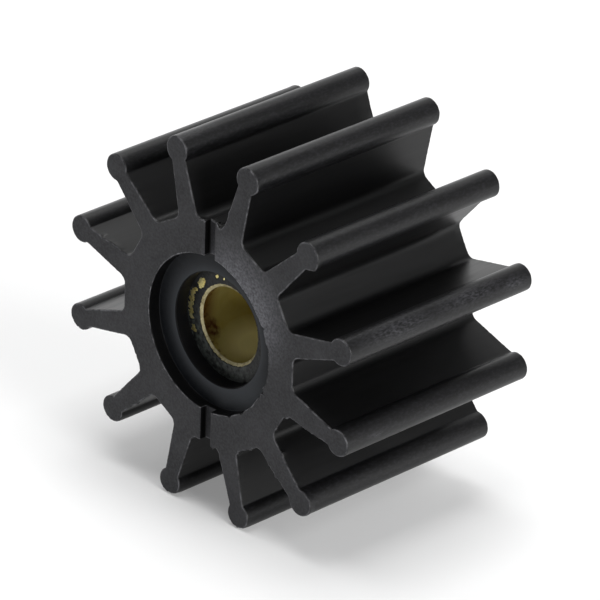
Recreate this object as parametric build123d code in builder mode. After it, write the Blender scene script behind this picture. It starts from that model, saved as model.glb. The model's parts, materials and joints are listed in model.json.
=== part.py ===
"""A flexible rubber pump impeller: twelve blades moulded in one piece round a brass bush.

The shaft runs along Y, the front face looks to -Y, and the origin is on the shaft's axis
halfway along the blades. The impeller lies on the tips of its two lowest blades.
"""

import os

from build123d import *

# Driving dimensions, in millimetres.

# The blades, whose beads run on the pump's liner.
tip_diameter = 82.5
impeller_width = 51.3
blade_count = 12
bead_diameter = 5.8
blade_root_thickness = 5.5
blade_neck_thickness = 3.5
neck_fillet_radius = 0.5

# The hub, a drum whose flats are the floors of the pockets between the blades.
pocket_floor_distance = 24.2
pocket_corner_radius = 1.8

# The bush, turned from brass bar, with a flared mouth at each end of its bore.
bore_diameter = 16.0
bush_wall_thickness = 4.7
bush_setback = 6.2
mouth_flare_width = 0.8
mouth_flare_depth = 0.4

# The stepped recess and the shallow pair of slots in each end of the hub. The rubber laps
# over the edge of the bush, and the recess widens by a step from there.
bush_lap = 1.0
recess_step_width = 5.2
recess_step_depth = 2.5
recess_corner_radius = 0.6
slot_width = 3.0
slot_depth = 1.6

# Places that follow from them.
first_blade_angle = 180 / blade_count
bead_radius = bead_diameter / 2
bead_centre_distance = tip_diameter / 2 - bead_radius
bore_radius = bore_diameter / 2
bush_radius = bore_radius + bush_wall_thickness
bush_length = impeller_width - 2 * bush_setback
inner_recess_radius = bush_radius - bush_lap
outer_recess_radius = inner_recess_radius + recess_step_width
recess_step = impeller_width / 2 - recess_step_depth
front_end = Plane.XZ.offset(impeller_width / 2)
back_end = -Plane.XZ.offset(-impeller_width / 2)

os.makedirs("parts", exist_ok=True)

# The rubber rotor, hub and blades in one moulding.
with BuildPart() as rubber_rotor:

    # One outline runs the whole width. Each blade tapers outwards from the hub to its bead.
    with BuildSketch(Plane.XZ) as rotor_outline:
        RegularPolygon(
            pocket_floor_distance,
            blade_count,
            major_radius=False,
            rotation=first_blade_angle,
        )
        with PolarLocations(0, blade_count, start_angle=first_blade_angle):
            Polygon(
                (0, -blade_root_thickness / 2),
                (pocket_floor_distance, -blade_root_thickness / 2),
                (bead_centre_distance, -blade_neck_thickness / 2),
                (bead_centre_distance, blade_neck_thickness / 2),
                (pocket_floor_distance, blade_root_thickness / 2),
                (0, blade_root_thickness / 2),
                align=None,
            )
        with PolarLocations(bead_centre_distance, blade_count, start_angle=first_blade_angle):
            Circle(bead_radius)

        # The innermost points are the pocket corners, and the outermost are the beads' necks.
        fillet(
            rotor_outline.vertices().group_by(SortBy.DISTANCE, tol_digits=3)[0],
            pocket_corner_radius,
        )
        fillet(
            rotor_outline.vertices().group_by(SortBy.DISTANCE, tol_digits=3)[-1],
            neck_fillet_radius,
        )
    extrude(amount=impeller_width / 2, both=True)

    # The stepped hole along the axis: the recess that the mould's core leaves in each end,
    # and the seat of the bush, whose rubber lip laps over the edge of the bush.
    with BuildSketch(Plane.XY) as hole_section:
        with BuildLine():
            Polyline(
                (0, 0),
                (bush_radius, 0),
                (bush_radius, bush_length / 2),
                (inner_recess_radius, bush_length / 2),
                (inner_recess_radius, recess_step),
                (outer_recess_radius, recess_step),
                (outer_recess_radius, impeller_width / 2),
                (0, impeller_width / 2),
                close=True,
            )
        make_face()
        mirror(about=Plane.XZ)
        widest_points = hole_section.vertices().group_by(Axis.X)[-1]
        step_corners = widest_points.filter_by_position(Axis.Y, -recess_step, recess_step)
        fillet(step_corners, recess_corner_radius)
    revolve(axis=Axis.Y, mode=Mode.SUBTRACT)

    # The slots lie in line across each end and run out into the top and bottom pockets.
    with BuildSketch(front_end, back_end):
        Rectangle(slot_width, 2 * pocket_floor_distance)
    extrude(amount=-slot_depth, mode=Mode.SUBTRACT)

rubber_rotor.part.label = "rubber_rotor"
export_step(rubber_rotor.part, "parts/rubber_rotor.step")

# The brass bush, bonded in the rubber, with a bore for the pump's shaft.
with BuildPart() as brass_bush:
    with BuildSketch(Plane.XY) as bush_section:
        with BuildLine():
            Polyline(
                (bore_radius, -bush_length / 2 + mouth_flare_depth),
                (bore_radius + mouth_flare_width, -bush_length / 2),
                (bush_radius, -bush_length / 2),
                (bush_radius, bush_length / 2),
                (bore_radius + mouth_flare_width, bush_length / 2),
                (bore_radius, bush_length / 2 - mouth_flare_depth),
                close=True,
            )
        make_face()
    revolve(axis=Axis.Y)

brass_bush.part.label = "brass_bush"
export_step(brass_bush.part, "parts/brass_bush.step")
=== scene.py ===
"""A flexible rubber pump impeller: twelve blades moulded in one piece round a brass bush.

The shaft runs along Y, the front end looks to -Y, and the origin is on the shaft's line,
halfway along the blades. Lengths are in metres.
"""

import json

import bmesh
import bpy
import numpy as np
from mathutils import Matrix, Vector


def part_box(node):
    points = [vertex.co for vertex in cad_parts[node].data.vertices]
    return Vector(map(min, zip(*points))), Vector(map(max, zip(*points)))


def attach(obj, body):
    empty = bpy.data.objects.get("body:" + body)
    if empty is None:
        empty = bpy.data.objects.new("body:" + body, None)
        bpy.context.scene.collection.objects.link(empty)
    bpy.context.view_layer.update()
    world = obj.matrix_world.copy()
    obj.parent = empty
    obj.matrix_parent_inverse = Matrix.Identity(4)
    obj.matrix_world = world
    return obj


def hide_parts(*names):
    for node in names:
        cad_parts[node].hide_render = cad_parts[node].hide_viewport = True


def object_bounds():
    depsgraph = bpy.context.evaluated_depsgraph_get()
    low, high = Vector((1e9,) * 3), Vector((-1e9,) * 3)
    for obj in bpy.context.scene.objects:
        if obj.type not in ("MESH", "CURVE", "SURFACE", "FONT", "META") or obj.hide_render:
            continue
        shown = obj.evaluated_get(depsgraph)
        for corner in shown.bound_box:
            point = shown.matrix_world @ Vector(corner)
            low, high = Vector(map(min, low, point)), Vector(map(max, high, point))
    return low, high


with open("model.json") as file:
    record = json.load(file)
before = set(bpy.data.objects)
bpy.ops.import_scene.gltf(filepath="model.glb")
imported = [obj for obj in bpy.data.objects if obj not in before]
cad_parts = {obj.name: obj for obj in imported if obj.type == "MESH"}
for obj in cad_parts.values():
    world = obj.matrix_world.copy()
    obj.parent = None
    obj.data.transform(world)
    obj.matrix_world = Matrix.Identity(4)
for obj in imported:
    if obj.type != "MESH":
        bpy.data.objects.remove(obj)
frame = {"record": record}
cad_low, cad_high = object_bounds()

# The bush. The real one is free-cutting brass, turned from bar, bored for the pump's shaft and
# opened out at both mouths. It goes into the mould first, and the rubber then hides most of it.

mm = 0.001
mounts = {mount["name"]: mount for mount in frame["record"]["mounts"]}
bore_radius = mounts["bore"]["dims"]["r_mm"] * mm
bush_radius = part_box("brass_bush")[1].x
bush_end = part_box("brass_bush")[1].y
mouth_flare_width = 0.8 * mm
mouth_flare_depth = 0.4 * mm
mouth_edge_radius = 0.12 * mm
tolerance = 0.01 * mm
bush_columns = 288


def between(first, last, count):
    """Points evenly spaced on the straight line from first to last, both included."""
    share = np.linspace(0, 1, count)[:, None]
    return np.asarray(first) * (1 - share) + np.asarray(last) * share


def arc(centre, radius, start, end, count):
    """Points on a circle: the centre plus the radius times the cosine and sine of an angle
    that goes evenly from start to end, in degrees."""
    angles = np.radians(np.linspace(start, end, count))
    return np.asarray(centre) + radius * np.stack([np.cos(angles), np.sin(angles)], axis=1)


def turned(profile, columns):
    """A profile of (radius, y) points carried round the shaft's line. At each angle the
    point is radius times the cosine and sine of the angle, with the profile's own y."""
    angles = np.linspace(0, 2 * np.pi, columns, endpoint=False)
    radius, y = profile[:, 0, None], profile[:, 1, None]
    ring = np.ones(columns)
    return np.stack([radius * np.cos(angles), y * ring, radius * np.sin(angles)], axis=2)


def grid_faces(rows, columns, closed_rows, first_index):
    """Four-cornered faces between neighbouring points of a grid whose columns close in a
    ring. Row r and column c are the point r times columns plus c."""
    row = np.arange(rows if closed_rows else rows - 1)[:, None]
    column = np.arange(columns)[None, :]
    next_row, next_column = (row + 1) % rows, (column + 1) % columns
    corners = [
        row * columns + column,
        row * columns + next_column,
        next_row * columns + next_column,
        next_row * columns + column,
    ]
    return np.stack(np.broadcast_arrays(*corners), axis=2).reshape(-1, 4) + first_index


def piece_from_grids(name, grids, weld=0.001 * mm):
    """One closed mesh from several grids. Each grid is its points, whether its rows close in
    a ring, the finish of each face and how much each point is paled by wear and a painted
    highlight. Points that meet are welded."""
    points, faces, finishes, wear_and_highlight = [], [], [], []
    count = 0
    for grid, closed_rows, face_finish, worn_and_highlit in grids:
        rows, columns = grid.shape[:2]
        points.append(grid.reshape(-1, 3))
        faces.append(grid_faces(rows, columns, closed_rows, count))
        face_rows = rows if closed_rows else rows - 1
        finishes.append(np.broadcast_to(face_finish, (face_rows, columns)).ravel())
        wear_and_highlight.append(np.broadcast_to(worn_and_highlit, (rows, columns)).ravel())
        count += rows * columns
    mesh = bpy.data.meshes.new(name)
    mesh.from_pydata(np.concatenate(points).tolist(), [], np.concatenate(faces).tolist())
    mesh.polygons.foreach_set("material_index", np.concatenate(finishes).astype(np.int32))
    worn_and_highlit_points = mesh.attributes.new("worn_and_highlit", "FLOAT", "POINT")
    worn_and_highlit_points.data.foreach_set("value", np.concatenate(wear_and_highlight).astype(np.float32))
    shell = bmesh.new()
    shell.from_mesh(mesh)
    bmesh.ops.remove_doubles(shell, verts=shell.verts, dist=weld)
    bmesh.ops.dissolve_degenerate(shell, edges=shell.edges, dist=weld / 10)
    bmesh.ops.recalc_face_normals(shell, faces=shell.faces)
    shell.to_mesh(mesh)
    shell.free()
    mesh.shade_smooth()
    piece = bpy.data.objects.new(name, mesh)
    bpy.context.scene.collection.objects.link(piece)
    return piece


def linear(hex_colour):
    """An sRGB colour such as #c8a060 as the linear red, green, blue and alpha of a shader."""
    srgb = np.array([int(hex_colour[i:i + 2], 16) for i in (1, 3, 5)]) / 255
    return (*np.where(srgb <= 0.04045, srgb / 12.92, ((srgb + 0.055) / 1.055) ** 2.4), 1.0)


def add_node(tree, kind, inputs, **settings):
    """Adds a node with its settings. Each input is a value, or the output that it takes."""
    node = tree.nodes.new(kind)
    for name, value in settings.items():
        setattr(node, name, value)
    for name, value in inputs.items():
        if isinstance(value, bpy.types.NodeSocket):
            tree.links.new(value, node.inputs[name])
        else:
            node.inputs[name].default_value = value
    return node


def new_material(name):
    """An empty material, its node tree, and the piece's own coordinates in that tree."""
    material = bpy.data.materials.new(name)
    material.use_nodes = True
    material.node_tree.nodes.clear()
    places = add_node(material.node_tree, "ShaderNodeTexCoord", {}).outputs["Object"]
    return material, material.node_tree, places


def clouds(tree, places, size, low, high, stretch=(1, 1, 1)):
    """Noise with marks of about the given size, drawn out by the stretch, as a share that
    rises from 0 to 1 between the low and the high value."""
    drawn_out = add_node(
        tree, "ShaderNodeMapping", {"Vector": places, "Scale": stretch}, vector_type="TEXTURE"
    )
    noise = add_node(tree, "ShaderNodeTexNoise", {
        "Vector": drawn_out.outputs["Vector"], "Scale": 1 / size, "Detail": 4.0,
    })
    share = add_node(tree, "ShaderNodeMapRange", {
        "Value": noise.outputs["Fac"], "From Min": low, "From Max": high,
    })
    return share.outputs["Result"]


def spots(tree, places, marks):
    """A share that is 1 at the centre of each mark and 0 at its edge. A mark is a centre and
    its reach along each axis, in millimetres."""
    share = 0.0
    for centre, reach in marks:
        away = add_node(tree, "ShaderNodeMapping", {
            "Vector": places, "Location": Vector(centre) * mm, "Scale": Vector(reach) * mm,
        }, vector_type="TEXTURE")
        near = add_node(
            tree, "ShaderNodeTexGradient", {"Vector": away.outputs["Vector"]}, gradient_type="SPHERICAL"
        )
        share = add_node(
            tree, "ShaderNodeMath", {0: share, 1: near.outputs["Fac"]}, operation="MAXIMUM"
        ).outputs["Value"]
    return share


def tinted(tree, colour, tint, *shares):
    """The colour turned towards the tint, by as much as the product of the shares."""
    product = shares[0]
    for share in shares[1:]:
        product = add_node(
            tree, "ShaderNodeMath", {0: product, 1: share}, operation="MULTIPLY", use_clamp=True
        ).outputs["Value"]
    return add_node(
        tree, "ShaderNodeMixRGB", {"Fac": product, "Color1": colour, "Color2": linear(tint)}
    ).outputs["Color"]


def bored_brass():
    """Free-cutting brass in the bore, dulled to olive by oil and water, and paler where it is
    rubbed. Low in its front half it is paler still from a painted pool of light. Fine rings left
    by the boring bar run round it. It is browner towards the front mouth, with a few flecks, and
    a reddish stain lies low on one side."""
    material, tree, places = new_material("bored_brass")
    colour = tinted(tree, linear("#b6a964"), "#c2b674", clouds(tree, places, 4 * mm, 0.3, 0.7))
    # A painted pool of light makes the bore paler low down in its front half.
    painted_light_low = spots(tree, places, [((-2.0, -10.0, -9.0), (8.0, 10.0, 7.0))])
    colour = tinted(tree, colour, "#ece8c2", painted_light_low, 1.8)
    rubbed = spots(tree, places, [((-8.0, -4.0, 3.0), (5.0, 9.0, 6.0))])
    colour = tinted(tree, colour, "#ecdc86", rubbed, 1.4)
    brown = spots(tree, places, [((-8.0, -20.0, 1.5), (6.0, 5.0, 10.0))])
    colour = tinted(tree, colour, "#7c5a22", brown, 1.5)
    by_the_mouth = spots(tree, places, [((-4.0, -19.5, 3.0), (9.0, 2.6, 14.0))])
    flecks = clouds(tree, places, 0.8 * mm, 0.5, 0.6)
    colour = tinted(tree, colour, "#58351d", by_the_mouth, 2.0, flecks)
    stained = spots(tree, places, [((-7.0, -17.4, -3.9), (2.6, 2.2, 2.6))])
    mottles = clouds(tree, places, 0.9 * mm, 0.25, 0.6)
    colour = tinted(tree, colour, "#623c20", stained, 2.0, mottles)
    # The real rings are about 0.1 mm apart. That is too fine to show, so they are drawn at 0.3.
    rings = clouds(tree, places, 0.3 * mm, 0.0, 1.0, stretch=(30, 1, 30))
    bump = add_node(tree, "ShaderNodeBump", {"Height": rings, "Strength": 0.25, "Distance": 0.02 * mm})
    shader = add_node(tree, "ShaderNodeBsdfPrincipled", {
        "Base Color": colour,
        "Metallic": 1.0,
        "Roughness": 0.88,
        "Normal": bump.outputs["Normal"],
    })
    add_node(tree, "ShaderNodeOutputMaterial", {"Surface": shader.outputs["BSDF"]})
    return material


def turned_brass(name, dark, light, tarnished):
    """Free-cutting brass as the tool left it. It has a soft yellow shine between a dark and a
    light colour, small dents, and brown specks where it is tarnished."""
    material, tree, places = new_material(name)
    colour = tinted(tree, linear(dark), light, clouds(tree, places, 1.2 * mm, 0.3, 0.7))
    specks = clouds(tree, places, 0.5 * mm, 0.56, 0.62)
    colour = tinted(tree, colour, "#55351d", specks, tarnished)
    dents = clouds(tree, places, 0.7 * mm, 0.2, 0.8)
    bump = add_node(tree, "ShaderNodeBump", {"Height": dents, "Strength": 0.5, "Distance": 0.08 * mm})
    shader = add_node(tree, "ShaderNodeBsdfPrincipled", {
        "Base Color": colour,
        "Metallic": 1.0,
        "Roughness": 0.52,
        "Normal": bump.outputs["Normal"],
    })
    add_node(tree, "ShaderNodeOutputMaterial", {"Surface": shader.outputs["BSDF"]})
    return material


mouth_slope = np.degrees(np.arctan2(mouth_flare_depth, mouth_flare_width))
bore_end = bush_end - mouth_flare_depth - mouth_edge_radius
half_profile = np.concatenate([
    between((bore_radius, 0), (bore_radius, bore_end), 8),
    arc(
        (bore_radius + mouth_edge_radius, bore_end + mouth_edge_radius / 2),
        mouth_edge_radius, 180, 90 + mouth_slope, 5,
    ),
    [
        (bore_radius + mouth_flare_width, bush_end),
        (bush_radius - mouth_edge_radius, bush_end),
        (bush_radius, bush_end - mouth_edge_radius),
        (bush_radius, 0.5 * bush_end),
    ],
])
bush_profile = np.concatenate([half_profile[::-1] * (1, -1), half_profile[1:]])
middle_radius = (bush_profile[:, :1] + np.roll(bush_profile[:, :1], -1)) / 2
in_bore = middle_radius < bore_radius + tolerance
on_end = middle_radius > bore_radius + mouth_flare_width

# A finish is the number of its material, in the order in which the piece takes them below.
bored, opened_out, faced = range(3)
bush_finish = np.where(in_bore, bored, np.where(on_end, faced, opened_out))
bush = piece_from_grids("bush", [(turned(bush_profile, bush_columns), True, bush_finish, 0.0)])
bush.data.materials.append(bored_brass())
bush.data.materials.append(turned_brass("mouth_brass", "#8c8260", "#c6bd98", 0.3))
bush.data.materials.append(turned_brass("faced_brass", "#d4c272", "#ebe3aa", 0.6))
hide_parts("brass_bush")
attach(bush, "root")

# The rotor. Hub and blades are one moulding of black nitrile rubber, pressed round the bush.
# The mould's cavity leaves the sides satin, and its end plates leave the ends grey and matte.
# Here and there a little flash is left along the front edges, and handling has nicked them.

rotor_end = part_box("rubber_rotor")[1].y
rotor_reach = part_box("rubber_rotor")[1].x
blade_count = 12
slotted_pockets = (2, 8)
tip_radius = 41.25 * mm
bead_radius = 2.9 * mm
blade_root_thickness = 5.5 * mm
blade_neck_thickness = 3.5 * mm
neck_fillet_radius = 0.5 * mm
pocket_floor_distance = 24.2 * mm
pocket_corner_radius = 1.8 * mm
edge_radius = 0.25 * mm

outer_recess_radius = 16.9 * mm
inner_recess_radius = 12.1 * mm
recess_step = rotor_end - 2.9 * mm
recess_corner_radius = 0.15 * mm
slot_half_width = 1.5 * mm
slot_depth = 1.6 * mm
slot_edge_radius = 0.2 * mm
film_foot_radius = 0.12 * mm
film_inner_radius = 8.66 * mm
film_thickness = 0.08 * mm
film_edge_waviness = 0.08 * mm
mouth_lap = 0.5 * mm
lap_direction = np.array([0.94, 0.34])
lap_threshold = 0.45
spot_raggedness = 0.45
film_lumpiness = 0.3

# The flaws of the edges: how far down they reach and fade, where a bite starts to show, how
# ragged and uneven the edges are, and how pale wear and a painted highlight make them.
flash_depth = 0.7 * mm
bite_depth = 0.6 * mm
fading_depth = 0.5 * mm
plain_depth = 3 * mm
bite_showing = 0.12 * mm
raggedness = 0.5
flash_height = 0.3 * mm
flash_threshold = 0.7
edge_waviness = 0.035 * mm
rim_waviness = 0.03 * mm
edge_wear_and_highlight = 0.45
rim_wear_and_highlight = 0.7

# Flash and nicks on the front edges: x and z, spread, and height along the outward normal, in
# millimetres. The first is the nub beside the top slot.
front_marks = np.array([
    (1.8, 24.3, 0.28, 1.3),
    (-2.2, 24.2, 0.8, 0.45),
    (5.5, 28.7, 0.4, 0.2),
    (12.6, 36.3, 1.2, 0.35),
    (29.4, 25.3, 1.2, 0.35),
    (-9.9, -39.9, 1.6, -0.3),
    (9.9, -39.9, 1.6, -0.3),
    (29.9, -26.5, 1.2, 0.25),
    (9.8, -22.7, 0.6, 0.45),
    (11.4, -21.7, 0.6, 0.35),
    (13.2, -20.6, 0.7, 0.55),
    (15.3, -20.2, 0.8, 0.4),
    (18.0, -22.0, 1.2, 0.35),
    (20.2, -23.9, 1.2, 0.4),
    (22.8, -26.3, 1.0, 0.3),
    (22.9, -9.6, 0.7, 0.6),
    (25.3, -9.2, 1.4, 0.35),
    (28.4, -10.1, 1.4, 0.4),
    (31.0, -10.9, 1.0, 0.3),
    (22.2, -17.9, 0.5, 0.45),
    (2.2, -24.4, 0.4, 0.8),
    (3.7, -26.7, 0.5, 0.45),
    (-30.7, 10.8, 0.5, -0.3),
    (-19.8, -23.4, 0.4, 0.35),
    (-20.9, -12.1, 3.0, -0.25),
    (-38.5, -12.2, 1.8, -0.25),
    (-28.5, -29.6, 1.8, -0.25),
]) * mm
no_marks = front_marks[:0]

# Bites out of the rim of the front recess, in the same way. On the upper right the rim leans
# in over the recess instead.
front_bites = np.array([
    (16.7, 3.0, 0.5, 0.45),
    (16.9, 1.4, 0.8, 0.3),
    (16.9, -0.6, 0.9, 0.35),
    (16.8, -2.6, 0.8, 0.3),
    (16.3, -4.4, 0.6, 0.55),
    (15.6, -6.7, 0.35, 0.6),
    (14.9, -7.9, 0.5, 0.3),
    (12.9, -9.9, 0.4, 0.4),
    (12.5, -10.8, 0.5, 0.3),
    (9.9, -13.3, 0.5, 0.45),
    (6.5, -15.5, 0.6, 0.3),
    (15.4, 6.9, 0.35, 0.5),
    (14.7, 8.3, 1.2, -0.2),
    (13.2, 10.5, 1.4, -0.3),
    (11.0, 12.8, 1.4, -0.3),
    (8.6, 14.5, 1.4, -0.3),
    (5.9, 15.8, 1.2, -0.2),
]) * mm

# Bare spots, where the rubber film has come off the end of the bush: an angle in degrees, and
# the distance from the shaft's line and the spot's size in millimetres.
front_bare_spots = [
    (101.4, 9.8, 0.25),
    (112.5, 10.3, 0.4),
    (138.5, 10.5, 0.7),
    (144.0, 10.4, 0.8),
    (148.0, 10.2, 0.4),
    (156.5, 10.8, 0.5),
    (161.0, 11.2, 0.65),
    (165.5, 11.15, 0.7),
    (170.5, 11.15, 0.7),
    (175.5, 11.3, 0.7),
    (180.5, 11.25, 0.7),
    (185.5, 11.15, 0.65),
    (190.5, 11.1, 0.6),
    (203.4, 11.1, 0.75),
]
back_bare_spots = [
    (38.0, 10.9, 0.6),
    (44.0, 11.0, 0.5),
    (201.0, 10.6, 0.5),
    (322.0, 11.1, 0.4),
]

blade_pitch = 2 * np.pi / blade_count
pocket_ray = np.array([np.cos(blade_pitch / 2), np.sin(blade_pitch / 2)])
pocket_across = np.array([pocket_ray[1], -pocket_ray[0]])
bead_centre = np.array([tip_radius - bead_radius, 0.0])


def heading(vector):
    """The angle of a plane vector, in degrees."""
    return np.degrees(np.arctan2(vector[1], vector[0]))


def uneven(places, size, seed):
    """A smooth random field that mostly stays between -1 and 1. It is three times the mean
    of 24 cosines of the distance along random headings, with wavelengths of 0.6 to 1.6
    times the size and random phases."""
    count = 24
    chance = np.random.default_rng(seed)
    headings = chance.normal(size=(count, places.shape[-1]))
    headings /= np.linalg.norm(headings, axis=1, keepdims=True)
    waves = 2 * np.pi / (size * chance.uniform(0.6, 1.6, (count, 1)))
    phases = chance.uniform(0, 2 * np.pi, count)
    return 3 * np.cos(places @ (headings * waves).T + phases).mean(axis=-1)


def marked(places, marks):
    """The sum of the marks' heights at each place. Each height is multiplied by the
    exponential of minus half the square of the distance over the mark's spread."""
    distance = np.linalg.norm(places[:, None] - marks[None, :, :2], axis=2)
    return (marks[:, 3] * np.exp(-0.5 * (distance / marks[:, 2]) ** 2)).sum(axis=1)


def fade(depth, reach):
    """1 at the end face, and less with depth: the exponential of minus the square of the
    depth over the reach."""
    return np.exp(-(np.maximum(depth, 0) / reach) ** 2)


def half_sector():
    """The rotor's outline from one blade's tip to the middle of the next pocket's floor, with
    the blade along the first axis. At each station: the point, the outward normal, the point
    that it is joined to across the face, the depth of the slot, and whether that inner point
    lies on the recess.

    The bead is a circle, the blade's side a straight line that tapers outwards, and the floor
    a line square to the pocket's ray. A fillet's centre is its radius away from both of the
    lines, or circle and line, that it joins."""
    root = np.array([pocket_floor_distance, blade_root_thickness / 2])
    neck = np.array([bead_centre[0], blade_neck_thickness / 2])
    along = (neck - root) / np.linalg.norm(neck - root)
    side_normal = np.array([-along[1], along[0]])

    # The neck's fillet rolls between the blade's side and the outside of the bead.
    start = root + neck_fillet_radius * side_normal - bead_centre
    reach = bead_radius + neck_fillet_radius
    middle = start @ along
    step = -middle - np.sqrt(middle ** 2 - start @ start + reach ** 2)
    neck_centre = bead_centre + start + step * along
    towards_neck = (neck_centre - bead_centre) / reach

    # The corner's fillet rolls between the blade's side and the pocket's floor.
    lines = np.stack([side_normal, pocket_ray])
    offsets = [root @ side_normal + pocket_corner_radius, pocket_floor_distance + pocket_corner_radius]
    corner_centre = np.linalg.solve(lines, offsets)

    bead = arc(bead_centre, bead_radius, 0, heading(towards_neck), 16)
    neck_arc = arc(neck_centre, neck_fillet_radius, heading(-towards_neck), heading(-side_normal), 4)
    side = between(neck_arc[-1], corner_centre - pocket_corner_radius * side_normal, 40)
    corner = arc(corner_centre, pocket_corner_radius, heading(-side_normal), heading(-pocket_ray), 9)

    # Across the floor, the slot has a rounded lip, an upright wall and a rounded bottom corner.
    floor_stations = 5
    floor_half_width = (corner_centre - pocket_corner_radius * pocket_ray) @ pocket_across
    lip = arc((slot_half_width + slot_edge_radius, -slot_edge_radius), slot_edge_radius, 90, 180, 3)
    foot = arc(
        (slot_half_width - slot_edge_radius, slot_edge_radius - slot_depth), slot_edge_radius, 0, -90, 3
    )
    slot = np.concatenate([
        between((floor_half_width, 0), lip[0], floor_stations + 2)[1:-1],
        lip,
        foot,
        between(foot[-1], (0, -slot_depth), 4)[1:],
    ])
    floor = pocket_floor_distance * pocket_ray + slot[:, :1] * pocket_across

    outline = np.concatenate([bead, neck_arc[1:], side[1:], corner[1:], floor])
    normal = np.concatenate([
        (bead - bead_centre) / bead_radius,
        (neck_centre - neck_arc[1:]) / neck_fillet_radius,
        np.tile(side_normal, (len(side) - 1, 1)),
        (corner_centre - corner[1:]) / pocket_corner_radius,
        np.tile(pocket_ray, (len(floor), 1)),
    ])

    # Bead and blade are joined to the blade's middle line. The next four stations lead down
    # that line to the recess, and the rest are joined to the recess's edge.
    recess_edge = outer_recess_radius + edge_radius
    on_blade = len(bead) + len(neck_arc) + len(side) - 2
    stations_down = 4
    inner = np.zeros_like(outline)
    inner[:on_blade, 0] = np.minimum(outline[:on_blade, 0], bead_centre[0])
    first_ring = on_blade + stations_down - 1
    down = np.linspace(inner[on_blade - 1, 0], recess_edge, stations_down + 1)[1:]
    inner[on_blade:first_ring + 1, 0] = down
    lip_angle = blade_pitch / 2 - np.arcsin(lip[0, 0] / recess_edge)
    lip_station = len(outline) - len(slot) + floor_stations
    fan = np.linspace(0, lip_angle, lip_station - first_ring + 1)
    straight = blade_pitch / 2 - np.arcsin(slot[floor_stations:, 0] / recess_edge)
    ring_angles = np.concatenate([fan[:-1], straight])
    inner[first_ring:] = recess_edge * np.stack([np.cos(ring_angles), np.sin(ring_angles)], axis=1)

    drop = np.zeros(len(outline))
    drop[-len(slot):] = -slot[:, 1]
    on_ring = np.arange(len(outline)) >= first_ring
    return outline, normal, inner, drop, on_ring


def out_and_back(half, returned):
    """A whole sector: the stations of its first half, then those of the returned half in the
    opposite order. The middle one comes once, and the last is left to the next sector."""
    return np.concatenate([half, returned[-2::-1]])[:-1]


def all_round(half):
    """Half a sector's plane vectors carried round the rotor. They are reflected in the
    pocket's ray, as twice the part along the ray less the vector, and the whole sector is
    then turned to each of the twelve pockets. The first blade stands half a pitch above the
    horizontal."""
    sector = out_and_back(half, 2 * (half @ pocket_ray)[:, None] * pocket_ray - half)
    turns = blade_pitch * (np.arange(blade_count) + 0.5)
    cos, sin = np.cos(turns)[:, None], np.sin(turns)[:, None]
    x, z = sector[:, 0], sector[:, 1]
    return np.stack([x * cos - z * sin, x * sin + z * cos], axis=2).reshape(-1, 2)


outline, normal, inner, drop, on_ring = half_sector()
outline = all_round(outline)
normal = all_round(normal)
inner = all_round(inner)
on_ring = np.tile(out_and_back(on_ring, on_ring), blade_count)

# The slots run from the recess to the floors of the pockets at the top and at the bottom.
has_slot = np.isin(np.arange(blade_count), slotted_pockets)
drop = np.outer(has_slot, out_and_back(drop, drop)).ravel()
level = rotor_end - drop
outwards = inner / np.linalg.norm(inner, axis=1, keepdims=True)
next_drop = np.roll(drop, -1)
on_slot_wall = (np.maximum(drop, next_drop) > slot_edge_radius + tolerance) & (
    np.minimum(drop, next_drop) < slot_depth - tolerance
)

# Four rows of faces go round each edge. Below it, rows of points follow the slots' lip, foot
# and bottom, with one where the flaws fade. The sides have two more, below all the flaws and
# in the rotor's middle. On the end face, the rows beside the edges are a support's width away.
edge_rows = 4
half_edge = edge_rows // 2
rounding = np.radians(np.linspace(0, 90, edge_rows + 1))
wall_levels = rotor_end - edge_radius - np.array([
    slot_edge_radius, fading_depth, slot_depth - slot_edge_radius, slot_depth,
])
side_levels = np.append(wall_levels, [rotor_end - plain_depth, 0])
support_width = 0.12 * mm
largest_support_share = 0.3
film_rows = 15

# The numbers of the finishes are again those of the materials, in the rotor's order below.
end_finish, side_finish, core_finish, film_finish, floor_finish = range(5)


def edge_shift(marks, seed):
    """How far the outline stands out at one end: the marks, made ragged by a share of their
    height, thin flash where a wide field is high, and a little waviness everywhere."""
    ragged = 1 + raggedness * uneven(outline, 0.9 * mm, seed)
    flash = flash_height * np.maximum(uneven(outline, 7 * mm, seed + 1) - flash_threshold, 0)
    waves = edge_waviness * uneven(outline, 1.2 * mm, seed + 2)
    return marked(outline, marks) * ragged + flash + waves


def rim_shift(marks, seed):
    """How far the recess's rim is bitten back at one end, made in the same way but without
    the flash."""
    ragged = 1 + raggedness * uneven(inner, 0.7 * mm, seed)
    waves = rim_waviness * uneven(inner, 1.5 * mm, seed + 1)
    return np.where(on_ring, marked(inner, marks) * ragged + waves, 0)


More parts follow.
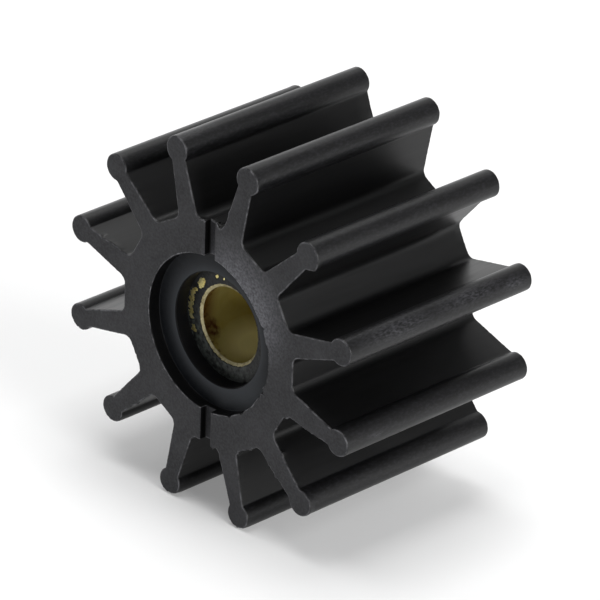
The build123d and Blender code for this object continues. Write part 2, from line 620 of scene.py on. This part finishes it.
def end_rows(end, shift, bite):
    """The rotor's outer surface at one end, -1 for the front and 1 for the back, from the
    inner points across the face, round its edge and along the sides to the middle. It comes
    as rows of points, the finish of the faces after each row, and how much each row is paled
    by wear and a painted highlight.

    Face: inner point to the outline moved in by the edge's radius, with two rows across it,
    and one close to each end that keeps its shading flat. Edge: moved in by the radius times
    one less the sine, and down by the radius times one less the cosine. The shift moves all of
    it along the outline's normal, and fades with depth along the sides."""
    start = inner + bite[:, None] * outwards
    rim = outline + (shift - edge_radius)[:, None] * normal
    width = np.linalg.norm(rim - start, axis=1)
    near = np.minimum(support_width / width, largest_support_share)
    shares = np.stack(np.broadcast_arrays(0, near, 0.36, 0.68, 1 - near, 1))
    face = start + shares[:, :, None] * (rim - start)
    face_y = np.broadcast_to(level, shares.shape)
    inset = edge_radius * (1 - np.sin(rounding[1:, None]))
    edge = outline + (shift - inset)[:, :, None] * normal
    edge_y = level - edge_radius * (1 - np.cos(rounding[1:, None]))
    side_y = np.minimum(side_levels[:, None], level - edge_radius)
    side = outline + (shift * fade(level - edge_radius - side_y, flash_depth))[:, :, None] * normal
    plan = np.clip(np.concatenate([face, edge, side]), -rotor_reach, rotor_reach)
    y = end * np.concatenate([face_y, edge_y, side_y])
    points = np.stack([plan[:, :, 0], y, plan[:, :, 1]], axis=2)

    # The end's finish reaches halfway round the edge, apart from the walls of the slots.
    row = np.arange(len(points))[:, None]
    first_edge_row = len(face) - 1
    near_end = row[:-1] < first_edge_row + half_edge
    # The slots' walls take the darker copy of the core's rubber, which is painted shade.
    finish = np.where(near_end, np.where(on_slot_wall, core_finish, end_finish), side_finish)
    # The edge's rows are paled by wear and a painted highlight.
    worn_and_highlit = np.where((row >= first_edge_row) & (row < first_edge_row + edge_rows), edge_wear_and_highlight, 0.0)
    return points, finish, worn_and_highlit


def film_height(places, bare_spots, seed):
    """The film's height over the end of the bush. Cover is the distance from the nearest bare
    spot, over the spot's size, less one, with a ragged field added. The height is the film's
    thickness times three times the cover, kept between -1 and 1, and so it dips into the
    brass at a bare spot. A wider field then makes it lumpy."""
    fully_covered = 9.0
    cover = np.full(places.shape[:-1], fully_covered)
    for angle, distance, size in bare_spots:
        centre = distance * mm * np.array([np.cos(np.radians(angle)), np.sin(np.radians(angle))])
        cover = np.minimum(cover, np.linalg.norm(places - centre, axis=-1) / (size * mm) - 1)
    cover = cover + spot_raggedness * uneven(places, 0.9 * mm, seed)
    lumps = 1 + film_lumpiness * uneven(places, 1.5 * mm, seed + 1)
    return film_thickness * np.clip(3 * cover, -1, 1) * lumps


def hole_rows(end, bite, bare_spots, seed):
    """The stepped hole at one end: the recess's rim, wall, floor and step, then the thin film
    of rubber over the bush's end, and the seat round the bush to the middle. It comes as rows
    of points, the finish of the faces after each row, and how much each row is paled by wear
    and a painted highlight.

    Rim, corner, lip and foot are arcs of the profile, carried round. The film's radii go
    evenly from its foot to its inner edge. On one side that edge laps over the bush's mouth,
    by the lap's width times how far the direction is past that side's threshold."""
    ring = outwards[on_ring]
    ring_bite = bite[on_ring]
    ring_level = level[on_ring]
    rim_radius = outer_recess_radius + edge_radius * (1 - np.sin(rounding[:, None])) + ring_bite
    rim_y = ring_level - edge_radius * (1 - np.cos(rounding[:, None]))
    wall_y = np.minimum(wall_levels[:, None], ring_level - edge_radius)
    wall_radius = outer_recess_radius + ring_bite * fade(ring_level - edge_radius - wall_y, bite_depth)
    corner = arc(
        (outer_recess_radius - recess_corner_radius, recess_step + recess_corner_radius),
        recess_corner_radius, 0, -90, 5,
    )
    lip = arc((inner_recess_radius + edge_radius, recess_step - edge_radius), edge_radius, 90, 180, 4)
    step = between(corner[-1], lip[0], 4)[1:-1]
    foot = arc(
        (inner_recess_radius - film_foot_radius, bush_end + film_foot_radius + film_thickness),
        film_foot_radius, 0, -60, 3,
    )
    stepped = np.concatenate([corner, step, lip, foot])

    # The waves of the film's edge follow the direction, so their size is an angle in radians.
    share = np.linspace(0, 1, film_rows)[:, None]
    lap = np.maximum(ring @ lap_direction - lap_threshold, 0) / (1 - lap_threshold)
    waves = film_edge_waviness * uneven(ring, 0.12, seed + 2)
    film_inner = film_inner_radius - mouth_lap * lap - waves
    film_radius = (1 - share) * (inner_recess_radius - film_foot_radius) + share * film_inner
    film_y = bush_end + film_height(film_radius[:, :, None] * ring, bare_spots, seed)
    seat_radius = np.stack(np.broadcast_arrays(film_inner, bush_radius, bush_radius))
    seat_y = np.array([[bush_end - mouth_flare_depth], [bush_end - 2 * film_thickness], [0]])
    points = np.concatenate([
        np.stack(np.broadcast_arrays(radius * ring[:, 0], end * y, radius * ring[:, 1]), axis=2)
        for radius, y in (
            (rim_radius, rim_y),
            (wall_radius, wall_y),
            (stepped[:, :1], stepped[:, 1:]),
            (film_radius, film_y),
            (seat_radius, seat_y),
        )
    ])

    # The recess's floor takes in its corner. The end's finish reaches halfway round the rim,
    # except where the rim is bitten back.
    row = np.arange(len(points))[:, None]
    # The rim, the wall, the step's lip and its foot take the darker copy of the core's rubber, which is
    # painted shade.
    finish = np.repeat([core_finish, floor_finish, core_finish, film_finish], [
        len(rim_y) + len(wall_y) + 1,
        len(corner) + len(step) - 1,
        len(lip) + len(foot),
        len(film_y) + len(seat_y) - 1,
    ])[:, None]
    finish = np.where((row[:-1] < half_edge) & (ring_bite < bite_showing), end_finish, finish)
    # The rim is paled by wear and a painted highlight, except on the slots.
    on_end_face = ring_level > rotor_end - slot_edge_radius
    worn_and_highlit = np.where((row < edge_rows) & on_end_face, rim_wear_and_highlight, 0.0)
    return points, finish, worn_and_highlit


def end_to_end(front, back):
    """The rows of both ends as one grid, from the front to the back. The last row of each end
    is the same one, in the middle."""
    front_points, front_finish, front_worn_and_highlit = front
    back_points, back_finish, back_worn_and_highlit = back
    points = np.concatenate([front_points, back_points[-2::-1]])
    finish = np.concatenate([front_finish, back_finish[::-1]])
    worn_and_highlit = np.concatenate([front_worn_and_highlit, back_worn_and_highlit[-2::-1]])
    return points, False, finish, worn_and_highlit


# A mark with this reach along the shaft, in millimetres, is a round zone of the whole length.
all_along = 1000.0


def end_rubber():
    """Nitrile rubber as the mould's end plates leave it: matte and grey, with a fine grain and
    pale specks of dust. It is rubbed paler beside the recess. Along the edges it is paler too,
    partly from wear and partly as a painted highlight."""
    material, tree, places = new_material("end_rubber")
    # The plates' grain is about 0.1 mm. That is too fine to show, so it is drawn at 0.5.
    grain = clouds(tree, places, 0.5 * mm, 0.35, 0.65)
    colour = tinted(tree, linear("#1a1a1d"), "#2d2d30", grain)
    colour = tinted(tree, colour, "#424245", clouds(tree, places, 7 * mm, 0.4, 0.65), 0.25)
    # The share falls to 0 at 30 mm, so the rubbed zone grows from 26.4 mm inwards to 16.2 mm.
    inwards = spots(tree, places, [((0.0, 0.0, 0.0), (30.0, all_along, 30.0))])
    beside_recess = add_node(tree, "ShaderNodeMapRange", {
        "Value": inwards, "From Min": 0.12, "From Max": 0.46,
    }).outputs["Result"]
    this_side = spots(tree, places, [((11.5, -25.6, 12.6), (15.5, 8.0, 15.5))])
    coarse = clouds(tree, places, 0.5 * mm, 0.15, 0.8)
    colour = tinted(tree, colour, "#7a7a80", this_side, 1.7, beside_recess, coarse)
    colour = tinted(tree, colour, "#6f6f6d", clouds(tree, places, 0.45 * mm, 0.68, 0.76), 0.3)
    # The edges are paler, partly from wear and partly as a painted highlight.
    worn_and_highlit = add_node(tree, "ShaderNodeAttribute", {}, attribute_name="worn_and_highlit").outputs["Fac"]
    colour = tinted(tree, colour, "#7e7e82", worn_and_highlit, clouds(tree, places, 1.6 * mm, 0.4, 0.65))
    bump = add_node(tree, "ShaderNodeBump", {"Height": grain, "Strength": 0.4, "Distance": 0.05 * mm})
    shader = add_node(tree, "ShaderNodeBsdfPrincipled", {
        "Base Color": colour,
        "Roughness": 0.6,
        "Specular IOR Level": 0.3,
        "IOR": 1.5,
        "Normal": bump.outputs["Normal"],
    })
    add_node(tree, "ShaderNodeOutputMaterial", {"Surface": shader.outputs["BSDF"]})
    return material


def side_rubber():
    """Nitrile rubber as the mould's polished cavity leaves it: black and satin, with faint
    draw marks along the blades. The beads are mottled paler, and scuffed in a few places."""
    material, tree, places = new_material("side_rubber")
    # Real draw marks are under 0.1 mm wide. That is too fine to show, so they are drawn at 0.8.
    marks = clouds(tree, places, 0.8 * mm, 0.2, 0.8, stretch=(1, 14, 1))
    colour = tinted(tree, linear("#040404"), "#070708", marks)
    scuffed = spots(tree, places, [
        ((39.0, -12.0, 11.5), (3.0, 12.0, 2.4)),
        ((38.8, 8.7, 12.0), (3.0, 13.0, 2.2)),
        ((39.7, 20.6, 11.1), (2.0, 5.0, 2.0)),
        ((39.9, -17.7, -9.7), (1.0, 2.5, 1.0)),
        ((-10.6, -22.0, 39.8), (3.0, 9.0, 1.6)),
    ])
    specks = clouds(tree, places, 0.3 * mm, 0.42, 0.68, stretch=(1, 3, 1))
    colour = tinted(tree, colour, "#343437", scuffed, 1.3, specks)
    # The share falls to 0 at 41.5 mm, so the beads' own finish grows from 35.3 to 37.4 mm.
    inside_beads = spots(tree, places, [((0.0, 0.0, 0.0), (41.5, all_along, 41.5))])
    on_beads = add_node(tree, "ShaderNodeMapRange", {
        "Value": inside_beads, "From Min": 0.15, "From Max": 0.1,
    }).outputs["Result"]
    mottles = clouds(tree, places, 0.4 * mm, 0.45, 0.7, stretch=(1, 2, 1))
    colour = tinted(tree, colour, "#202023", on_beads, mottles, 0.6)
    # The edges are paler, partly from wear and partly as a painted highlight.
    worn_and_highlit = add_node(tree, "ShaderNodeAttribute", {}, attribute_name="worn_and_highlit").outputs["Fac"]
    colour = tinted(tree, colour, "#49494b", worn_and_highlit, clouds(tree, places, 1.6 * mm, 0.4, 0.65))
    sheen = add_node(tree, "ShaderNodeMapRange", {
        "Value": clouds(tree, places, 1.2 * mm, 0.3, 0.7, stretch=(1, 10, 1)),
        "To Min": 0.38,
        "To Max": 0.43,
    })
    bump = add_node(tree, "ShaderNodeBump", {"Height": marks, "Strength": 0.25, "Distance": 0.03 * mm})
    shader = add_node(tree, "ShaderNodeBsdfPrincipled", {
        "Base Color": colour,
        "Roughness": sheen.outputs["Result"],
        "Specular IOR Level": 0.3,
        "IOR": 1.5,
        "Normal": bump.outputs["Normal"],
    })
    add_node(tree, "ShaderNodeOutputMaterial", {"Surface": shader.outputs["BSDF"]})
    return material


def core_rubber(name, dark, light, rubbed):
    """Nitrile rubber where the core of the mould leaves it smooth, between a dark and a light
    colour. It is paler towards the bush, where the step's edge is rubbed, and darker out by the
    outer wall, which is painted shade. A painted pool of light makes it paler low on the right,
    and a thin bloom dulls its shine."""
    material, tree, places = new_material(name)
    marks = clouds(tree, places, 1.2 * mm, 0.2, 0.8)
    colour = tinted(tree, linear(dark), light, marks)
    # Paler towards the bush, where the step's edge is rubbed; darker out by the outer wall, which is
    # painted shade.
    inwards = spots(tree, places, [((0.0, 0.0, 0.0), (17.0, all_along, 17.0))])
    colour = tinted(tree, colour, rubbed, inwards, 3.4, inwards, 3.4)
    # A painted pool of light makes it paler low on the right.
    painted_light_low_right = spots(tree, places, [((9.0, -22.8, -11.5), (12.0, 3.0, 8.0))])
    colour = tinted(tree, colour, rubbed, painted_light_low_right, 1.2)
    bump = add_node(tree, "ShaderNodeBump", {"Height": marks, "Strength": 0.25, "Distance": 0.05 * mm})
    shader = add_node(tree, "ShaderNodeBsdfPrincipled", {
        "Base Color": colour,
        "Roughness": 0.45,
        "Specular IOR Level": 0.1,
        "IOR": 1.5,
        "Normal": bump.outputs["Normal"],
    })
    add_node(tree, "ShaderNodeOutputMaterial", {"Surface": shader.outputs["BSDF"]})
    return material


def film_rubber():
    """Nitrile rubber that was squeezed out thinly over the end of the bush. It is lumpy and
    softly shiny, mottled with bloom, paler along its lower side from painted light, and has a
    few pale specks."""
    material, tree, places = new_material("film_rubber")
    bloom = clouds(tree, places, 0.8 * mm, 0.35, 0.7)
    colour = tinted(tree, linear("#0b0c0c"), "#202222", bloom)
    # Painted light makes the film paler along its lower side, where it lies in shade.
    painted_light_below = spots(tree, places, [
        ((-8.5, -19.5, -5.5), (7.0, 4.0, 7.0)),
        ((1.0, -19.5, -10.5), (11.0, 4.0, 6.0)),
    ])
    colour = tinted(tree, colour, "#484c49", painted_light_below, 1.8, bloom)
    colour = tinted(tree, colour, "#636765", clouds(tree, places, 0.35 * mm, 0.68, 0.74), 0.5)
    lumps = clouds(tree, places, 0.9 * mm, 0.2, 0.8)
    bump = add_node(tree, "ShaderNodeBump", {"Height": lumps, "Strength": 0.6, "Distance": 0.12 * mm})
    shader = add_node(tree, "ShaderNodeBsdfPrincipled", {
        "Base Color": colour,
        "Roughness": 0.4,
        "Specular IOR Level": 0.22,
        "IOR": 1.5,
        "Normal": bump.outputs["Normal"],
    })
    add_node(tree, "ShaderNodeOutputMaterial", {"Surface": shader.outputs["BSDF"]})
    return material


front_bite = rim_shift(front_bites, seed=11)
back_bite = rim_shift(no_marks, seed=12)
shell = end_to_end(
    end_rows(-1, edge_shift(front_marks, seed=21), front_bite),
    end_rows(1, edge_shift(no_marks, seed=31), back_bite),
)
hole = end_to_end(
    hole_rows(-1, front_bite, front_bare_spots, seed=41),
    hole_rows(1, back_bite, back_bare_spots, seed=51),
)
rotor = piece_from_grids("rotor", [shell, hole])
rotor.data.materials.append(end_rubber())
rotor.data.materials.append(side_rubber())
# The walls of the recess, the slots and the step take a darker copy of the core's rubber, as painted
# shade.
rotor.data.materials.append(core_rubber("core_wall_rubber_painted_shade", "#050506", "#090909", "#0d0d0f"))
rotor.data.materials.append(film_rubber())
rotor.data.materials.append(core_rubber("core_floor_rubber", "#131417", "#1d1f22", "#393c40"))
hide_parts("rubber_rotor")
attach(rotor, "root")

# The floor is a wide sheet of pale opal acrylic, lit a little from below, which the impeller
# lies on. It isn't part of the object.

floor_reach = 4.0
floor_mesh = bpy.data.meshes.new("floor")
floor_mesh.from_pydata(
    [(x * floor_reach, y * floor_reach, cad_low.z) for x, y in ((-1, -1), (1, -1), (1, 1), (-1, 1))],
    [],
    [(0, 1, 2, 3)],
)
floor = bpy.data.objects.new("floor", floor_mesh)
bpy.context.scene.collection.objects.link(floor)

# Opal acrylic is cast with a white filler that scatters light, so it looks matte and even.
opal, opal_tree = new_material("opal_acrylic")[:2]
opal_shader = add_node(opal_tree, "ShaderNodeBsdfPrincipled", {
    "Base Color": linear("#c6c6c6"),
    "Roughness": 0.9,
    "Emission Color": linear("#ffffff"),
    "Emission Strength": 0.22,
})
add_node(opal_tree, "ShaderNodeOutputMaterial", {"Surface": opal_shader.outputs["BSDF"]})
floor_mesh.materials.append(opal)

# The light is that of a small studio tent that is open to the front: a strong box low on the
# right with a weaker one above it, one overhead, and weaker ones on the left and behind.

box_width = 0.75
box_distance = 1.2


def soft_box(name, azimuth, elevation, watts):
    """A square area light that looks at the origin. The azimuth goes from the front round by
    the right. Both angles are in degrees."""
    azimuth, elevation = np.radians(azimuth), np.radians(elevation)
    place = Vector((
        np.sin(azimuth) * np.cos(elevation),
        -np.cos(azimuth) * np.cos(elevation),
        np.sin(elevation),
    ))
    light = bpy.data.lights.new(name, "AREA")
    light.shape = "SQUARE"
    light.size = box_width
    light.energy = watts
    lamp = bpy.data.objects.new(name, light)
    lamp.location = box_distance * place
    lamp.rotation_euler = place.to_track_quat("Z", "Y").to_euler()
    lamp.visible_camera = False
    bpy.context.scene.collection.objects.link(lamp)


soft_box("right_low_box", 90, 10, 16.8)
soft_box("right_high_box", 90, 35, 5.1)
soft_box("overhead_box", 0, 90, 11.5)
soft_box("left_box", 270, 22, 5.4)
soft_box("back_left_high_box", 225, 60, 3.7)
soft_box("back_left_low_box", 225, 10, 2.7)
soft_box("back_box", 180, 10, 2.7)
world = bpy.data.worlds.new("tent")
world.use_nodes = True
world.node_tree.nodes["Background"].inputs["Color"].default_value = linear("#f2f4f6")
world.node_tree.nodes["Background"].inputs["Strength"].default_value = 0.13
bpy.context.scene.world = world
bpy.context.scene.view_settings.view_transform = "Standard"

# The camera stands where the photograph was taken from: to the right of the front end and a
# little above, far enough off for its long lens to keep the blades nearly parallel.

camera_azimuth = np.radians(44.564)
camera_elevation = np.radians(26.161)
camera_roll = np.radians(1.844)
camera_distance = 1210.9 * mm
camera_target = Vector((0.36, -0.02, -0.54)) * mm
camera_back = Vector((
    np.sin(camera_azimuth) * np.cos(camera_elevation),
    -np.cos(camera_azimuth) * np.cos(camera_elevation),
    np.sin(camera_elevation),
))
level_right = Vector((np.cos(camera_azimuth), np.sin(camera_azimuth), 0))
camera_right = np.cos(camera_roll) * level_right + np.sin(camera_roll) * camera_back.cross(level_right)
camera_up = camera_back.cross(camera_right)
camera = bpy.data.objects.new("camera", bpy.data.cameras.new("camera"))
camera.data.sensor_width = 36.0
camera.data.lens = 360.0
camera.data.clip_start = 0.1
camera.data.clip_end = 20.0
turn = Matrix((camera_right, camera_up, camera_back)).transposed()
camera.matrix_world = Matrix.LocRotScale(camera_target + camera_distance * camera_back, turn, None)
bpy.context.scene.collection.objects.link(camera)
bpy.context.scene.camera = camera
